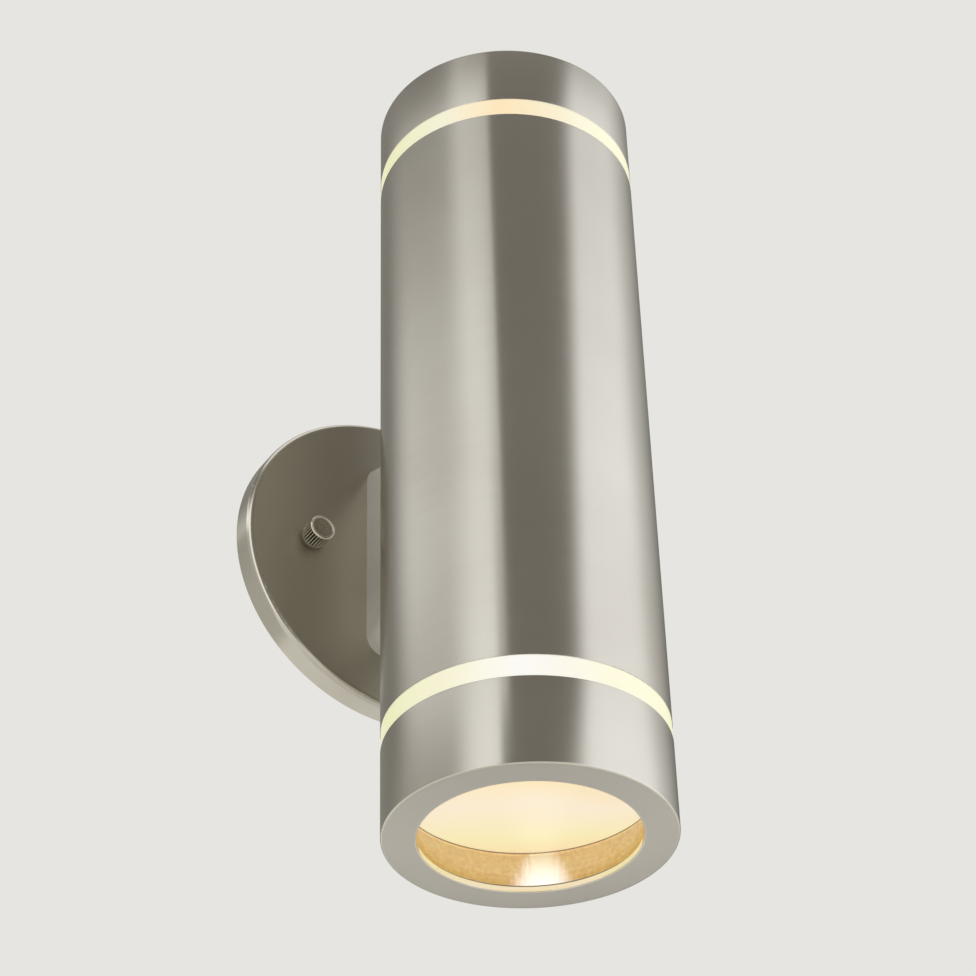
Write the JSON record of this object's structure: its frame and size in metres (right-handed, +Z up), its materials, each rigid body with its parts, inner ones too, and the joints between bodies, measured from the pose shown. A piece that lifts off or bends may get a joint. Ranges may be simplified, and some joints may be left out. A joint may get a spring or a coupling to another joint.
{
  "type": "tube wall light",
  "caption": "Upright satin-nickel tube wall light, lit at its ends and at a thin ring near each end, held off a round canopy by a tapered neck, with knurled thumb nuts.",
  "frame": {"origin": "centre of the canopy's back, in the plane of the wall, which is also the centre of the mounting plate's box slots", "axes": "+Z up, along the tube; +Y into the wall, so the light stands out towards -Y; +X to the right for someone who faces the wall"},
  "size_m": [0.12, 0.13, 0.29],
  "materials": {
    "satin_nickel": "brushed and nickel plated, satin",
    "canopy_nickel": "spun steel, nickel plated, satin",
    "polished_nickel": "cast, polished and nickel plated",
    "nut_nickel": "turned and knurled, nickel plated",
    "opal_acrylic": "opal acrylic, lit from inside",
    "clear_glass": "clear tempered",
    "silicone": "moulded translucent silicone",
    "reflector_aluminium": "polished strip, rolled",
    "cast_aluminium": "die cast, bare",
    "thermal_pad": "silicone sheet",
    "board_white": "white solder mask on aluminium",
    "led_phosphor": "warm white LED package",
    "zinc_steel": "zinc plated",
    "driver_plastic": "moulded",
    "canopy_foam": "closed-cell foam",
    "ground_green": "green dyed plating",
    "washer_rubber": "moulded"
  },
  "bodies": {
    "fixture": {"main_tube": "satin_nickel", "lower_collar": "satin_nickel", "upper_collar": "satin_nickel", "canopy": "canopy_nickel", "neck": "polished_nickel", "lower_light_ring": "opal_acrylic", "upper_light_ring": "opal_acrylic", "lower_diffuser": "opal_acrylic", "upper_diffuser": "opal_acrylic", "lower_glass": "clear_glass", "upper_glass": "clear_glass", "lower_glass_gasket": "silicone", "upper_glass_gasket": "silicone", "wire_grommet": "silicone", "lower_reflector": "reflector_aluminium", "upper_reflector": "reflector_aluminium", "lower_heat_sink": "cast_aluminium", "upper_heat_sink": "cast_aluminium", "saddle_spacer": "cast_aluminium", "lower_thermal_pad": "thermal_pad", "upper_thermal_pad": "thermal_pad", "lower_led_board": "board_white", "upper_led_board": "board_white", "lower_leds": "led_phosphor", "upper_leds": "led_phosphor", "lower_board_screws": "zinc_steel", "upper_board_screws": "zinc_steel", "lower_sink_screws": "zinc_steel", "upper_sink_screws": "zinc_steel", "chassis": "zinc_steel", "driver_screws": "zinc_steel", "neck_screws": "zinc_steel", "canopy_screws": "zinc_steel", "mounting_plate": "zinc_steel", "stud_lock_nuts": "zinc_steel", "left_stud": "zinc_steel", "right_stud": "zinc_steel", "led_driver": "driver_plastic", "canopy_gasket": "canopy_foam", "ground_screw": "ground_green"},
    "left_washer": {"left_washer": "washer_rubber"},
    "left_nut": {"left_thumb_nut": "nut_nickel"},
    "right_washer": {"right_washer": "washer_rubber"},
    "right_nut": {"right_thumb_nut": "nut_nickel"}
  },
  "joints": [
    {"name": "left_nut_travel", "type": "slide", "parent": "fixture", "child": "left_washer", "axis": [0, -1, 0], "range_m": [0, 0.00476]},
    {"name": "left_nut_turn", "type": "hinge", "parent": "left_washer", "child": "left_nut", "pos_m": [-0.035, -0.0098, 0], "axis": [0, -1, 0], "range_deg": [0, 2160]},
    {"name": "right_nut_travel", "type": "slide", "parent": "fixture", "child": "right_washer", "axis": [0, -1, 0], "range_m": [0, 0.00476]},
    {"name": "right_nut_turn", "type": "hinge", "parent": "right_washer", "child": "right_nut", "pos_m": [0.035, -0.0098, 0], "axis": [0, -1, 0], "range_deg": [0, 2160]}
  ],
  "couplings": [
    {"joint": "left_nut_turn", "follows": "left_nut_travel", "rad_per_m": 7915.8},
    {"joint": "right_nut_turn", "follows": "right_nut_travel", "rad_per_m": 7915.8}
  ]
}
